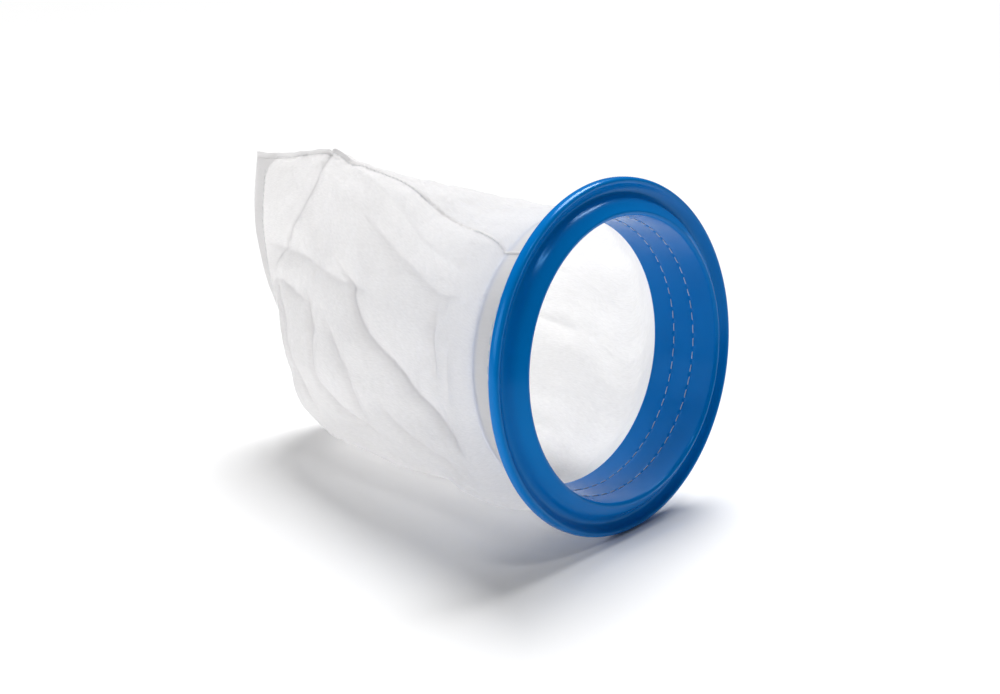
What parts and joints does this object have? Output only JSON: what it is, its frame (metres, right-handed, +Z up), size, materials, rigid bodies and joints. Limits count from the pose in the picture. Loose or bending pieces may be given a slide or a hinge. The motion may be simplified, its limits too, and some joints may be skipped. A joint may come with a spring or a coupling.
{
  "type": "dust collector filter bag",
  "caption": "Cloth filter pocket sewn to a round moulded collar with a grooved sealing lip and a sewing skirt, open at the collar and closed by a seam at the far end.",
  "frame": {"origin": "on the floor, under the middle of the object's bounding box", "axes": "+Z up, +Y from the mouth of the bag towards its sewn end, +X to the right seen from the mouth; the bag lies on its side"},
  "size_m": [0.18, 0.2668, 0.1786],
  "materials": {
    "collar_plastic": "glossy moulded blue",
    "filter_cloth": "translucent white filter cloth",
    "thread": "white sewing thread"
  },
  "bodies": {
    "root": {"collar": "collar_plastic", "filter_cloth": "filter_cloth", "front_row_bobbin_thread": "thread", "front_row_needle_thread": "thread", "rear_row_bobbin_thread": "thread", "rear_row_needle_thread": "thread", "side_seam_needle_thread": "thread", "side_seam_bobbin_thread": "thread", "end_seam_needle_thread": "thread", "end_seam_bobbin_thread": "thread"}
  },
  "joints": []
}
